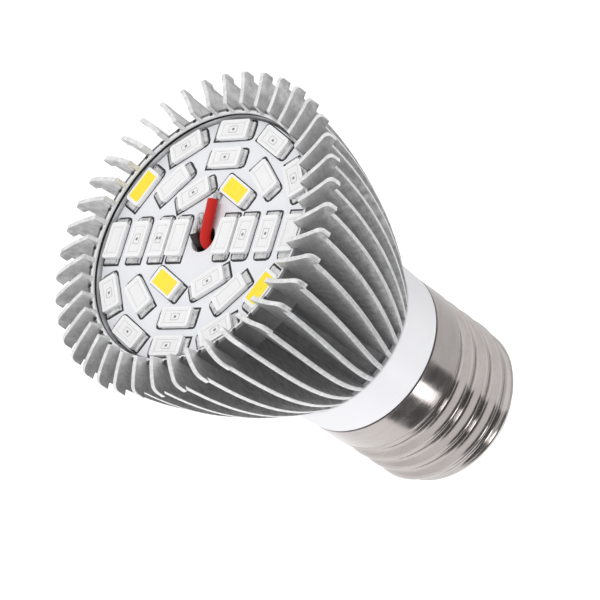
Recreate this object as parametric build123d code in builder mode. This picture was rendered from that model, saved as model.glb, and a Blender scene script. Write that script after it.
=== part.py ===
from build123d import *
import os

# LED grow light bulb: an E27 screw cap, a plastic housing with its driver, a finned aluminium
# heat sink, and a white board with 28 surface-mount LEDs on the lit face.
# Millimetres. Z = 0 is the centre contact and +Z points out of the lit face.
# X runs through the middle row of LEDs.

# Screw cap, E27
cap_height = 26.5
contact_radius = 4.8
contact_flat_radius = 3.9
contact_bevel = 0.7
contact_thickness = 1.0
insulator_bottom_radius = 6.4
insulator_height = 3.8
insulator_lead_hole_radius = 1.6
insulator_clearance = 0.15
shell_band_radius = 13.05
shell_band_height = 5.6
thread_pitch = 3.63
thread_crest_radius = 13.0
thread_root_radius = 12.15
thread_crest_width = 0.9
thread_base_width = 2.75
shell_step_height = 0.6
shell_curl_radius = 10.6
shell_curl_height = 2.4
shell_wall = 0.3

# Plastic housing between the cap and the heat sink
collar_height = 7.8
collar_top_radius = 13.5
collar_bottom_radius = 13.05
collar_rim_gap = 0.15
skirt_clearance = 0.12
skirt_wall = 1.3
skirt_end_gap = 3.0
ledge_thickness = 1.5
ledge_width = 1.9
spigot_height = 4.0
spigot_clearance = 0.1

# Heat sink, one aluminium casting
sink_height = 33.2
fin_count = 40
fin_thickness = 0.8
fin_curve_radius = 22.3
fin_sweep = 40
fin_phase = -2.4
fin_tip_radius = 25.0
fin_tip_bevel = 0.7
fin_band_height = 2.2
fin_band_step = 0.9
fin_neck_radius = 13.4
fin_edge_radius = 70.0
core_top_radius = 14.5
core_neck_radius = 12.6
cavity_radius = 11.4
plate_radius = 20.0
plate_thickness = 2.6
recess_radius = 19.1
rim_drop = 1.9
rim_flare = 0.5

# LED board and its packages
board_radius = 18.7
board_thickness = 1.2
board_sink_depth = 3.25
wire_hole_radius = 2.1
led_length = 5.6
led_width = 3.0
led_height = 0.75
window_length = 4.6
window_width = 2.4
window_depth = 0.35
terminal_length = 0.55
terminal_width = 2.2
terminal_thickness = 0.15
inner_ring_radius, inner_ring_count = 4.5, 2
second_ring_radius, second_ring_count = 8.1, 6
third_ring_radius, third_ring_count = 12.4, 8
outer_ring_radius, outer_ring_count = 16.8, 12
second_ring_phosphor_angles = (60, 240)
outer_ring_phosphor_angles = (150, 330)

# Driver inside the housing
driver_width = 19.6
driver_thickness = 1.0
driver_length = 33.0
driver_groove_play = 0.05
rib_width = 0.8
rib_reach = 1.2
rib_root = 0.5
rib_height = 22.0
component_standoff = 0.1
bulk_capacitor_radius = 4.0
bulk_capacitor_length = 12.0
bulk_capacitor_lift = 14.0
output_capacitor_radius = 2.5
output_capacitor_length = 5.0
output_capacitor_lift = 27.3
output_capacitor_offset = 5.6
inductor_radius = 3.8
inductor_flange = 1.0
inductor_core_radius = 2.4
inductor_height = 6.0
inductor_lift = 3.0
bridge_width, bridge_depth, bridge_length = 3.9, 2.5, 4.7
bridge_lift = 6.0
film_width, film_depth, film_length = 7.5, 3.6, 7.0
film_lift = 13.0
chip_width, chip_depth, chip_length = 3.9, 1.6, 4.9
chip_lift = 22.5
fuse_radius = 1.3
fuse_length = 6.5
fuse_lift = 3.0
fuse_offset = 6.5

# Wires
lead_radius = 0.4
lead_overlap = 3.0
neutral_offset = 6.0
wire_radius = 0.8
wire_bend = 1.1
wire_lift = 0.3
wire_overlap = 3.0
wire_rise = 4.0
wire_driver_offset = 3.0
strand_radius = 0.35
pad_radius = 0.7
solder_height = 0.5
solder_taper = 25
red_hole_point = (0.95, -0.6)
red_strip_point = (0.6, 5.5)
red_pad = (0.5, 6.3)
black_hole_point = (-0.85, 0.75)
black_stub = 0.4
black_pad = (-1.5, 3.1)

# Levels along Z, worked out from the sizes above
neck_level = cap_height + collar_height
front_level = neck_level + sink_height
board_top = front_level - board_sink_depth
board_bottom = board_top - board_thickness
plate_bottom = board_bottom - plate_thickness
rim_level = front_level - rim_drop
shell_bottom = contact_thickness + insulator_height - shell_wall
skirt_bottom = shell_bottom + skirt_end_gap
skirt_radius = thread_root_radius - shell_wall - skirt_clearance
skirt_bore = skirt_radius - skirt_wall
ledge_top = skirt_bottom + ledge_thickness
driver_bottom = ledge_top
driver_top = driver_bottom + driver_length
driver_face = driver_thickness / 2
spigot_radius = cavity_radius - spigot_clearance
led_top = board_top + led_height
wire_run_level = board_top + wire_lift + wire_radius
solder_top = board_top + solder_height
insulator_top = contact_thickness + insulator_height

# The rings of packages: radius, number of packages, and the angles of the yellow ones
led_rings = (
    (inner_ring_radius, inner_ring_count, ()),
    (second_ring_radius, second_ring_count, second_ring_phosphor_angles),
    (third_ring_radius, third_ring_count, ()),
    (outer_ring_radius, outer_ring_count, outer_ring_phosphor_angles),
)

os.makedirs("parts", exist_ok=True)


def save(piece, label):
    piece.part.label = label
    export_step(piece.part, f"parts/{label}.step")


# Heat sink: the fins' outer edge, one fin, then the turned core that carries them all
band_level = front_level - fin_band_height
step_radius = fin_tip_radius - fin_band_step

with BuildPart() as fin_envelope:
    with BuildSketch(Plane.XZ):
        with BuildLine():
            Line((0, neck_level), (fin_neck_radius, neck_level))
            RadiusArc((fin_neck_radius, neck_level), (step_radius, band_level), -fin_edge_radius)
            Polyline(
                (step_radius, band_level),
                (fin_tip_radius, band_level),
                (fin_tip_radius, front_level),
                (0, front_level),
                (0, neck_level),
            )
        make_face()
    revolve(axis=Axis.Z)
    chamfer(fin_envelope.edges().sort_by(Axis.Z)[-1], fin_tip_bevel)

with BuildPart() as fin:
    fin_centre = (core_neck_radius - fin_thickness, fin_curve_radius)
    with BuildSketch(Plane.XY.offset(neck_level)):
        with BuildLine():
            outer = CenterArc(fin_centre, fin_curve_radius + fin_thickness / 2, -90, fin_sweep)
            inner = CenterArc(fin_centre, fin_curve_radius - fin_thickness / 2, -90, fin_sweep)
            Line(outer @ 0, inner @ 0)
            Line(outer @ 1, inner @ 1)
        make_face()
    extrude(amount=sink_height)
    add(fin_envelope.part, mode=Mode.INTERSECT)

with BuildPart() as heat_sink:
    with BuildSketch(Plane.XZ):
        with BuildLine():
            Polyline(
                (0, neck_level),
                (core_neck_radius, neck_level),
                (core_top_radius, plate_bottom),
                (plate_radius, plate_bottom),
                (plate_radius, rim_level),
                (0, rim_level),
                (0, neck_level),
            )
        make_face()
    revolve(axis=Axis.Z)
    with PolarLocations(0, fin_count, start_angle=fin_phase):
        add(fin.part)
    # The recess for the board, turned after casting, flares a little through the fins' inner ends
    with BuildSketch(Plane.XZ):
        with BuildLine():
            Polyline(
                (0, board_bottom),
                (recess_radius, board_bottom),
                (recess_radius, rim_level),
                (recess_radius + rim_flare, front_level),
                (0, front_level),
                (0, board_bottom),
            )
        make_face()
    revolve(axis=Axis.Z, mode=Mode.SUBTRACT)
    with BuildSketch(Plane.XY.offset(neck_level)):
        Circle(cavity_radius)
    extrude(amount=plate_bottom - neck_level, mode=Mode.SUBTRACT)
    with BuildSketch(Plane.XY.offset(plate_bottom)):
        Circle(wire_hole_radius)
    extrude(amount=plate_thickness, mode=Mode.SUBTRACT)
save(heat_sink, "heat_sink")

# LED board: a round aluminium-core board with the wires' hole in the middle
with BuildPart() as led_board:
    with BuildSketch(Plane.XY.offset(board_bottom)):
        Circle(board_radius)
        Circle(wire_hole_radius, mode=Mode.SUBTRACT)
    extrude(amount=board_thickness)
save(led_board, "led_board")

# LED packages: an open white housing each, numbered ring by ring from the middle
led_number = 0
for ring_radius, ring_count, _ in led_rings:
    for step in range(ring_count):
        led_number += 1
        led_angle = 360 / ring_count * step
        with BuildPart() as led:
            with BuildSketch(Plane.XY.offset(board_top)):
                with PolarLocations(ring_radius, 1, start_angle=led_angle):
                    Rectangle(led_width, led_length)
            extrude(amount=led_height)
            with BuildSketch(Plane.XY.offset(led_top - window_depth)):
                with PolarLocations(ring_radius, 1, start_angle=led_angle):
                    Rectangle(window_width, window_length)
            extrude(amount=window_depth, mode=Mode.SUBTRACT)
        save(led, f"led_{led_number:02d}")

# The fills of the housings: yellow phosphor in four of them, clear silicone in the rest
with BuildPart() as led_phosphors:
    with BuildSketch(Plane.XY.offset(led_top - window_depth)):
        for ring_radius, _, phosphor_angles in led_rings:
            for angle in phosphor_angles:
                with PolarLocations(ring_radius, 1, start_angle=angle):
                    Rectangle(window_width, window_length)
    extrude(amount=window_depth)
save(led_phosphors, "led_phosphors")

with BuildPart() as led_windows:
    with BuildSketch(Plane.XY.offset(led_top - window_depth)):
        for ring_radius, ring_count, phosphor_angles in led_rings:
            for step in range(ring_count):
                angle = 360 / ring_count * step
                if angle not in phosphor_angles:
                    with PolarLocations(ring_radius, 1, start_angle=angle):
                        Rectangle(window_width, window_length)
    extrude(amount=window_depth)
save(led_windows, "led_windows")

# Metal end terminals of every package, soldered flat on the board
with BuildPart() as led_terminals:
    with BuildSketch(Plane.XY.offset(board_top)):
        for ring_radius, ring_count, _ in led_rings:
            with PolarLocations(ring_radius, ring_count):
                with Locations(
                    (0, (led_length + terminal_length) / 2),
                    (0, -(led_length + terminal_length) / 2),
                ):
                    Rectangle(terminal_width, terminal_length)
    extrude(amount=terminal_thickness)
save(led_terminals, "led_terminals")

# Screw cap: centre contact, insulator and the nickel-plated shell
with BuildPart() as centre_contact:
    with BuildSketch(Plane.XZ):
        with BuildLine():
            Polyline(
                (0, 0),
                (contact_flat_radius, 0),
                (contact_radius, contact_bevel),
                (contact_radius, contact_thickness),
                (0, contact_thickness),
                (0, 0),
            )
        make_face()
    revolve(axis=Axis.Z)
save(centre_contact, "centre_contact")

insulator_top_radius = shell_curl_radius - shell_wall - insulator_clearance

with BuildPart() as shell_insulator:
    with BuildSketch(Plane.XZ):
        with BuildLine():
            Polyline(
                (insulator_lead_hole_radius, contact_thickness),
                (insulator_bottom_radius, contact_thickness),
                (insulator_top_radius, insulator_top - shell_wall),
                (insulator_top_radius, insulator_top),
                (insulator_lead_hole_radius, insulator_top),
                (insulator_lead_hole_radius, contact_thickness),
            )
        make_face()
    revolve(axis=Axis.Z)
save(shell_insulator, "shell_insulator")

# The shell is one drawn sheet: a line thickened inwards. Its rolled thread is a ridge with
# sloping flanks that winds up the straight wall, right-handed, from the curl to the band.
band_bottom = cap_height - shell_band_height
thread_top = band_bottom - shell_step_height
thread_bottom = shell_bottom + shell_curl_height
ridge_base = thread_root_radius - shell_wall / 2
ridge_start = thread_bottom + thread_base_width / 2
ridge_end = thread_top - thread_base_width / 2

with BuildPart() as screw_shell:
    with BuildSketch(Plane.XZ):
        with BuildLine():
            Polyline(
                (shell_band_radius, cap_height),
                (shell_band_radius, band_bottom),
                (thread_root_radius, thread_top),
                (thread_root_radius, thread_bottom),
                (shell_curl_radius, shell_bottom),
            )
            offset(amount=shell_wall, side=Side.RIGHT, kind=Kind.INTERSECTION)
        make_face()
    revolve(axis=Axis.Z)
    with BuildLine():
        Helix(thread_pitch, ridge_end - ridge_start, ridge_base, center=(0, 0, ridge_start))
    with BuildSketch(Plane.XZ):
        with BuildLine():
            Polyline(
                (ridge_base, ridge_start - thread_base_width / 2),
                (thread_crest_radius, ridge_start - thread_crest_width / 2),
                (thread_crest_radius, ridge_start + thread_crest_width / 2),
                (ridge_base, ridge_start + thread_base_width / 2),
                (ridge_base, ridge_start - thread_base_width / 2),
            )
        make_face()
    sweep(is_frenet=True)
save(screw_shell, "screw_shell")

# Housing: the visible collar, its skirt inside the shell and its spigot inside the heat sink
collar_bottom = cap_height + collar_rim_gap
spigot_top = neck_level + spigot_height

with BuildPart() as collar:
    with BuildSketch(Plane.XZ):
        with BuildLine():
            Polyline(
                (skirt_bore, spigot_top),
                (spigot_radius, spigot_top),
                (spigot_radius, neck_level),
                (collar_top_radius, neck_level),
                (collar_bottom_radius, collar_bottom),
                (skirt_radius, collar_bottom),
                (skirt_radius, skirt_bottom),
                (skirt_bore - ledge_width, skirt_bottom),
                (skirt_bore - ledge_width, ledge_top),
                (skirt_bore, ledge_top),
                (skirt_bore, spigot_top),
            )
        make_face()
    revolve(axis=Axis.Z)
    # Two pairs of ribs hold the driver board by its long edges
    rib_x = skirt_bore + (rib_root - rib_reach) / 2
    rib_y = driver_face + driver_groove_play + rib_width / 2
    with BuildSketch(Plane.XY.offset(ledge_top)):
        with GridLocations(2 * rib_x, 2 * rib_y, 2, 2):
            Rectangle(rib_root + rib_reach, rib_width)
    extrude(amount=rib_height)
save(collar, "collar")

# Driver board, standing on the housing's ledge
with BuildPart() as driver_board:
    with BuildSketch(Plane.XY.offset(driver_bottom)):
        Rectangle(driver_width, driver_thickness)
    extrude(amount=driver_length)
save(driver_board, "driver_board")

component_face = driver_face + component_standoff

with BuildPart() as bulk_capacitor:
    with BuildSketch(Plane.XY.offset(driver_bottom + bulk_capacitor_lift)):
        with Locations((0, component_face + bulk_capacitor_radius)):
            Circle(bulk_capacitor_radius)
    extrude(amount=bulk_capacitor_length)
save(bulk_capacitor, "bulk_capacitor")

with BuildPart() as output_capacitor:
    with BuildSketch(Plane.XY.offset(driver_bottom + output_capacitor_lift)):
        with Locations((-output_capacitor_offset, component_face + output_capacitor_radius)):
            Circle(output_capacitor_radius)
    extrude(amount=output_capacitor_length)
save(output_capacitor, "output_capacitor")

inductor_centre = driver_bottom + inductor_lift + inductor_radius

with BuildPart() as inductor:
    with BuildSketch(Plane((0, component_face, inductor_centre), z_dir=(0, 1, 0))):
        Circle(inductor_radius)
    extrude(amount=inductor_height)
    with BuildSketch(Plane((0, component_face + inductor_flange, inductor_centre), z_dir=(0, 1, 0))):
        Circle(inductor_radius)
        Circle(inductor_core_radius, mode=Mode.SUBTRACT)
    extrude(amount=inductor_height - 2 * inductor_flange, mode=Mode.SUBTRACT)
save(inductor, "inductor")

with BuildPart() as bridge_rectifier:
    with BuildSketch(Plane.XY.offset(driver_bottom + bridge_lift)):
        with Locations((0, -component_face - bridge_depth / 2)):
            Rectangle(bridge_width, bridge_depth)
    extrude(amount=bridge_length)
save(bridge_rectifier, "bridge_rectifier")

with BuildPart() as film_capacitor:
    with BuildSketch(Plane.XY.offset(driver_bottom + film_lift)):
        with Locations((0, -component_face - film_depth / 2)):
            Rectangle(film_width, film_depth)
    extrude(amount=film_length)
save(film_capacitor, "film_capacitor")

with BuildPart() as driver_chip:
    with BuildSketch(Plane.XY.offset(driver_bottom + chip_lift)):
        with Locations((0, -component_face - chip_depth / 2)):
            Rectangle(chip_width, chip_depth)
    extrude(amount=chip_length)
save(driver_chip, "driver_chip")

with BuildPart() as fuse_resistor:
    with BuildSketch(Plane.XY.offset(driver_bottom + fuse_lift)):
        with Locations((-fuse_offset, -component_face - fuse_radius)):
            Circle(fuse_radius)
    extrude(amount=fuse_length)
save(fuse_resistor, "fuse_resistor")

# Mains leads: the live one from the centre contact, the neutral one from the shell
lead_top = driver_bottom + lead_overlap
lead_y = -driver_face - lead_radius

with BuildPart() as live_lead:
    with BuildSketch(Plane.XY.offset(contact_thickness)):
        with Locations((0, lead_y)):
            Circle(lead_radius)
    extrude(amount=lead_top - contact_thickness)
save(live_lead, "live_lead")

neutral_level = (insulator_top + skirt_bottom) / 2
curl_share = (neutral_level - lead_radius - shell_bottom) / shell_curl_height
neutral_end = shell_curl_radius + curl_share * (thread_root_radius - shell_curl_radius) - 2 * shell_wall

with BuildPart() as neutral_lead:
    with BuildLine():
        neutral_path = Polyline(
            (neutral_offset, lead_y, lead_top),
            (neutral_offset, lead_y, neutral_level),
            (neutral_end, lead_y, neutral_level),
        )
    with BuildSketch(Plane(neutral_path @ 0, z_dir=neutral_path % 0)):
        Circle(lead_radius)
    sweep(transition=Transition.RIGHT)
save(neutral_lead, "neutral_lead")

# LED wires: up from the driver board, through the hole and onto the face
wire_foot = driver_top - wire_overlap
wire_turn = driver_top + wire_rise
hole_entry = plate_bottom - wire_rise
wire_y = driver_face + wire_radius

with BuildPart() as red_wire:
    with BuildLine():
        red_path = FilletPolyline(
            (wire_driver_offset, wire_y, wire_foot),
            (wire_driver_offset, wire_y, wire_turn),
            (*red_hole_point, hole_entry),
            (*red_hole_point, wire_run_level),
            (*red_strip_point, wire_run_level),
            radius=wire_bend,
        )
    with BuildSketch(Plane(red_path @ 0, z_dir=red_path % 0)):
        Circle(wire_radius)
    sweep()
save(red_wire, "red_wire")

with BuildPart() as black_wire:
    with BuildLine():
        black_path = FilletPolyline(
            (-wire_driver_offset, -wire_y, wire_foot),
            (-wire_driver_offset, -wire_y, wire_turn),
            (*black_hole_point, hole_entry),
            (*black_hole_point, board_top + black_stub),
            radius=wire_bend,
        )
    with BuildSketch(Plane(black_path @ 0, z_dir=black_path % 0)):
        Circle(wire_radius)
    sweep()
save(black_wire, "black_wire")

# The bared ends of both wires and the solder that holds them to their pads
strand_end = solder_top + strand_radius

with BuildPart() as wire_strands:
    with BuildLine():
        red_strand = Line((*red_strip_point, wire_run_level), (*red_pad, strand_end))
    with BuildSketch(Plane(red_strand @ 0, z_dir=red_path % 1)):
        Circle(strand_radius)
    sweep(path=red_strand)
    with BuildLine():
        black_strand = Polyline(
            (*black_hole_point, board_top + black_stub),
            (*black_hole_point, strand_end),
            (*black_pad, strand_end),
        )
    with BuildSketch(Plane(black_strand @ 0, z_dir=black_strand % 0)):
        Circle(strand_radius)
    sweep(path=black_strand, transition=Transition.RIGHT)
save(wire_strands, "wire_strands")

with BuildPart() as solder_joints:
    with BuildSketch(Plane.XY.offset(board_top)):
        with Locations(red_pad, black_pad):
            Circle(pad_radius)
    extrude(amount=solder_height, taper=solder_taper)
save(solder_joints, "solder_joints")
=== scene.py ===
import math

import bmesh
import bpy
from mathutils import Matrix, Vector, noise


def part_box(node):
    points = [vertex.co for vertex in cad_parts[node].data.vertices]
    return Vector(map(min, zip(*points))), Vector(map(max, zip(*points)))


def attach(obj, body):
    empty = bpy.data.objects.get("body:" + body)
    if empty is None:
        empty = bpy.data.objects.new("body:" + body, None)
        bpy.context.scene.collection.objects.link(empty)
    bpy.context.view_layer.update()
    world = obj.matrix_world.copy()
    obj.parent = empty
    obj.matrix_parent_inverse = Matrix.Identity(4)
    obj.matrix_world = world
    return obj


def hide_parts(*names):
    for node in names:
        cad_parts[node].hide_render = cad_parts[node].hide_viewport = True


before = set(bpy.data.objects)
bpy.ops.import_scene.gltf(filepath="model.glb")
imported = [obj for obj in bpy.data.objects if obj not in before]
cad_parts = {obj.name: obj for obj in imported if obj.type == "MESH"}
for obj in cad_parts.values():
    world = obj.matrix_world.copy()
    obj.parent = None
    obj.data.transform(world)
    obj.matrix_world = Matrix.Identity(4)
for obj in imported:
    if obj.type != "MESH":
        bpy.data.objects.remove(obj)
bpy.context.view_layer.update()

# LED grow light bulb. Shapes are drawn in millimetres and scaled once, when a piece is finished.
MM = 0.001
FULL_TURN = 2 * math.pi


def low(node):
    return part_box(node)[0].z / MM


def high(node):
    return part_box(node)[1].z / MM


def reach(node):
    """How far a round node reaches from the bulb's axis."""
    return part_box(node)[1].x / MM


# Levels along the bulb's axis, read from the solids
neck_level = low("heat_sink")
front_level = high("heat_sink")
board_bottom = low("led_board")
board_top = high("led_board")
led_top = high("led_01")
shell_top = high("screw_shell")
shell_bottom = low("screw_shell")
insulator_top = high("shell_insulator")
contact_top = low("shell_insulator")

# Tolerances for drawing, and how finely a curve is followed.
# FACING is how nearly a face has to point one way, where 1 is exactly.
MERGE_DISTANCE = 0.0005
TOLERANCE = 0.0001
UPRIGHT_RISE = 0.05
FACING = 0.9
CURVE_STEPS = 10

# Heat sink
FIN_COUNT = 40
FIN_THICKNESS = 0.8
FIN_PHASE = math.radians(-2.4)
FIN_CURVE_RADIUS = 22.3
FIN_TIP_ROUNDING = 0.9
FIN_RIM_ROUNDING = 0.12
FIN_BAND_HEIGHT = 2.2
FIN_BAND_STEP = 0.9
FIN_NECK_RADIUS = 13.4
FIN_EDGE_RADIUS = 70.0
FIN_EDGE_STEPS = 12
CORE_NECK_RADIUS = 12.6
CORE_TOP_RADIUS = 14.5
CORE_FILLET = 2.0
CORE_STEPS = 6 * FIN_COUNT
CAVITY_RADIUS = 11.4
PLATE_RADIUS = 20.0
PLATE_THICKNESS = 2.6
PLATE_ROUNDING = 0.5
RECESS_RADIUS = 19.1
LIP_RADIUS = 19.5
LIP_ROUNDING = 0.15
RIM_FLARE = 0.5
RIM_DROP = 1.9
HOLE_RADIUS = 2.1
fin_tip_radius = reach("heat_sink")
ring_middle = (RECESS_RADIUS + PLATE_RADIUS) / 2
rim_level = front_level - RIM_DROP
plate_bottom = board_bottom - PLATE_THICKNESS
band_level = front_level - FIN_BAND_HEIGHT

# The inner edge of a fin, buried in the neck, the plate and the ring
FIN_ROOT_NECK = 12.1
FIN_ROOT_TOP = 13.6
FIN_ROOT_PLATE = 14.0
FIN_ROOT_SINK = 0.8
FIN_ROOT_DROP = 0.4
FIN_LIP_GAP = 0.02

# The groove in the wall of the recess, as heights above the board, and the dark plates on the ring that paint
# its pits' shadow
GROOVE_DEPTH = 0.3
GROOVE_TOP = 0.95
GROOVE_BOTTOM = 0.5
GROOVE_SLOPE = 0.1
NOTCH_LENGTH = 0.6
NOTCH_WIDTH = 0.5
NOTCH_HEIGHT = 0.03
NOTCH_SHIFT = 0.5
NOTCH_OUTWARD = 0.1

# Board
BOARD_EDGE_ROUNDING = 0.12
BOARD_HOLE_ROUNDING = 0.08
BOARD_STEPS = 160

# LED packages: (radius, number of packages) of each ring
LED_RINGS = ((4.5, 2), (8.1, 6), (12.4, 8), (16.8, 12))
LED_LENGTH = 5.6
LED_WIDTH = 3.0
HOUSING_ROUNDING = 0.4
HOUSING_FRAME = 0.25
WINDOW_LENGTH = 4.6
WINDOW_WIDTH = 2.4
WINDOW_DEPTH = 0.35
WINDOW_TAPER = (0.9, 0.95, 1)

# The fill of a window, the line round its lower middle, and the die with the line round its pad
FILL_DROP = 0.04
FILL_ROUNDING = 0.35
FILL_LINE_INSET = 0.26
FILL_LINE_WIDTH = 0.06
FILL_LINE_DEPTH = 0.02
DIE_WIDTH = 0.34
DIE_LENGTH = 0.42
DIE_HEIGHT = 0.02
DIE_DROP = 0.025
TWIN_SHIFT = 0.27
PAD_LENGTH = 1.6
PAD_WIDTH = 1.05
PAD_LINE = 0.07
PAD_ROUNDING = 0.15

# The frame printed round a package, and its solder terminals
PRINT_LENGTH = 7.75
PRINT_WIDTH = 3.3
PRINT_LINE = 0.32
PRINT_HEIGHT = 0.02
PRINT_END_ROUNDING = 0.75
PRINT_CORNER_ROUNDING = 0.5
TERMINAL_WIDTH = 2.2
TERMINAL_LENGTH = 0.9
TERMINAL_HEIGHT = 0.3
TERMINAL_ROUNDING = 0.22
TERMINAL_OUTWARD = 0.35

# Packages as (radius, angle): with a yellow fill, with no die to be seen, and with two dies
PHOSPHOR_SPOTS = ((8.1, 60), (8.1, 240), (16.8, 150), (16.8, 330))
PLAIN_SPOTS = (
    (4.5, 0), (4.5, 180), (12.4, 45), (12.4, 135), (12.4, 225), (12.4, 315), (16.8, 0), (16.8, 180),
)
TWIN_SPOTS = ((8.1, 180),)

# Wires
WIRE_RADIUS = 0.8
RED_ROUTE = (
    (3.0, 1.3, 40), (3.0, 1.3, 44), (2.6, 1.0, 48), (1.5, -0.6, 54), (1.0, -1.0, 60), (0.9, -0.95, 62.6),
    (0.75, -0.75, 64.3), (0.85, 0.4, 64.95), (1.0, 2.4, 65.2), (0.65, 5.4, 65.25),
)
BLACK_ROUTE = (
    (-3.0, -1.3, 40), (-3.0, -1.3, 44), (-2.6, -1.0, 48), (-1.2, 0.2, 54), (-1.0, 0.0, 59),
    (-1.05, -0.3, 62), (-1.2, -0.25, 64.2), (-1.35, 0.6, 64.75),
)
RED_STRANDS = ((0.66, 5.3, 65.25), (0.5, 6.4, 64.75))
BLACK_STRANDS = ((-1.33, 0.5, 64.7), (-1.42, 1.7, 65.0), (-1.5, 3.1, 64.75))
STRAND_COUNT = 5
STRAND_RADIUS = 0.13
STRAND_SPREAD = 0.2
STRAND_TURNS = 1.2
STRAND_STEPS = 14

# Solder on the two wire pads
SOLDER_SPOTS = ((0.5, 6.4), (-1.5, 3.1))
SOLDER_RADIUS = 0.8
SOLDER_SHAPE = (1, 1.15, 0.75)
SOLDER_UNEVENNESS = 0.12
SOLDER_LUMPS = 1.7
SOLDER_LIFT = 0.05
SOLDER_CUT = 0.005

# Screw cap: THREAD_RISE is the level of a crest at +X
THREAD_PITCH = 3.63
THREAD_RISE = 6.4
THREAD_CREST = 13.0
THREAD_ROOT = 12.15
THREAD_STEP = 0.6
THREAD_START = 1.2
THREAD_END = 0.3
THREAD_FADE_IN = 1.6
THREAD_FADE_OUT = 1.2
SHELL_WALL = 0.3
SHELL_ROUNDING = 0.35
SHELL_LONG_EDGE = 8
SHELL_CUTS = 72
SHELL_STEPS = 144
BAND_HEIGHT = 5.6
CURL_RADIUS = 10.6
CURL_HEIGHT = 2.4
CURL_ROUNDING = 1.6
band_radius = reach("screw_shell")

# Contact end of the cap
INSULATOR_BOTTOM = 6.4
INSULATOR_ROUNDING = 0.8
INSULATOR_RIM_ROUNDING = 0.25
INSULATOR_STEPS = 96
LEAD_HOLE = 1.6
CONTACT_FLAT = 3.9
CONTACT_BEVEL = 0.7
CONTACT_ROUNDING = 0.5
CONTACT_RIM_ROUNDING = 0.2
CONTACT_STEPS = 72

# Plastic collar, with its skirt inside the shell and its spigot inside the heat sink
RIM_GAP = 0.15
COLLAR_TOP_ROUNDING = 0.3
COLLAR_FOOT_ROUNDING = 0.4
COLLAR_STEPS = 128
SKIRT_WALL = 1.3
SKIRT_CLEARANCE = 0.12
SPIGOT_CLEARANCE = 0.1
LEDGE_WIDTH = 1.9
LEDGE_THICKNESS = 1.5
RIB_HEIGHT = 22.0
RIB_WIDTH = 0.8
RIB_DEPTH = 1.7
RIB_SPACING = 1.9
RIB_SINK = 0.5
collar_bottom = shell_top + RIM_GAP
skirt_radius = THREAD_ROOT - SHELL_WALL - SKIRT_CLEARANCE

# Light and floor, in metres
LIGHT_AIM = Vector((0, 0, 0.04))
ROOM_LIGHT = 0.8
FLOOR_SIZE = 8.0
FLOOR_LEVEL = -0.11
FLOOR_GLOW = 0.3

# Camera at the photo's angle, in degrees, metres and millimetres of lens
CAMERA_AZIMUTH = 64.0
CAMERA_ELEVATION = 41.7
CAMERA_ROLL = 55.3
CAMERA_AIM = Vector((0.01107, -0.00471, 0.05346))
CAMERA_DISTANCE = 0.54
CAMERA_LENS = 232.5
SENSOR_WIDTH = 36.0


# Making of pieces

def outline(points, rounds=()):
    """A face drawn in the XZ plane. Each round is (corner numbers, radius, segments)."""
    shape = bmesh.new()
    corners = [shape.verts.new((radius, 0, height)) for radius, height in points]
    shape.faces.new(corners)
    for numbers, radius, segments in rounds:
        round_corners(shape, [corners[number] for number in numbers], radius, segments)
    return shape


def round_corners(shape, corners, radius, segments):
    bmesh.ops.bevel(
        shape, geom=corners, offset=radius, offset_type="OFFSET", segments=segments,
        profile=0.5, affect="VERTICES", material=-1,
    )


def round_edges(shape, edges, radius, segments):
    bmesh.ops.bevel(
        shape, geom=edges, offset=radius, offset_type="OFFSET", segments=segments,
        profile=0.5, affect="EDGES", material=-1,
    )


def open_section(shape):
    """Leaves only the section's outline."""
    bmesh.ops.delete(shape, geom=shape.faces[:], context="FACES_ONLY")


def whole(shape):
    return shape.verts[:] + shape.edges[:] + shape.faces[:]


def turn(shape, steps):
    """Turns a section once round the bulb's axis, as on a lathe."""
    open_section(shape)
    bmesh.ops.spin(
        shape, geom=shape.verts[:] + shape.edges[:], cent=(0, 0, 0), axis=(0, 0, 1),
        angle=FULL_TURN, steps=steps, use_merge=True, use_duplicate=False,
    )
    bmesh.ops.remove_doubles(shape, verts=shape.verts[:], dist=MERGE_DISTANCE)
    bmesh.ops.recalc_face_normals(shape, faces=shape.faces[:])


def copies_round(shape, count):
    """Repeats what is drawn so far in a ring round the bulb's axis."""
    bmesh.ops.spin(
        shape, geom=whole(shape), cent=(0, 0, 0), axis=(0, 0, 1),
        angle=FULL_TURN * (count - 1) / count, steps=count - 1, use_duplicate=True,
    )


def thicken(shape, offset):
    """Gives a flat drawing a body: a second copy, moved by the offset, and walls between the two."""
    grown = bmesh.ops.extrude_face_region(shape, geom=shape.faces[:])["geom"]
    raised = [item for item in grown if isinstance(item, bmesh.types.BMVert)]
    bmesh.ops.translate(shape, vec=offset, verts=raised)
    bmesh.ops.recalc_face_normals(shape, faces=shape.faces[:])


def block(width, length, height):
    """A block that stands on the XY plane, centred on the Z axis."""
    shape = bmesh.new()
    bmesh.ops.create_cube(shape, size=1)
    bmesh.ops.scale(shape, vec=(width, length, height), verts=shape.verts)
    bmesh.ops.translate(shape, vec=(0, 0, height / 2), verts=shape.verts)
    return shape


def rise(edge):
    """How far apart in height the two ends of an edge are."""
    return abs(edge.verts[0].co.z - edge.verts[1].co.z)


def upright_edges(shape):
    return [edge for edge in shape.edges if rise(edge) > UPRIGHT_RISE]


def highest_face(shape):
    return max(shape.faces, key=lambda face: face.calc_center_median().z)


def middle_face(shape):
    """The upward face nearest to the axis of a small shape."""
    upward = [face for face in shape.faces if face.normal.z > FACING]
    return min(upward, key=lambda face: face.calc_center_median().xy.length)


def rim_edges(shape, height):
    """The edges that lie at one height."""
    return [
        edge for edge in shape.edges
        if all(abs(vert.co.z - height) < TOLERANCE for vert in edge.verts)
    ]


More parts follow.
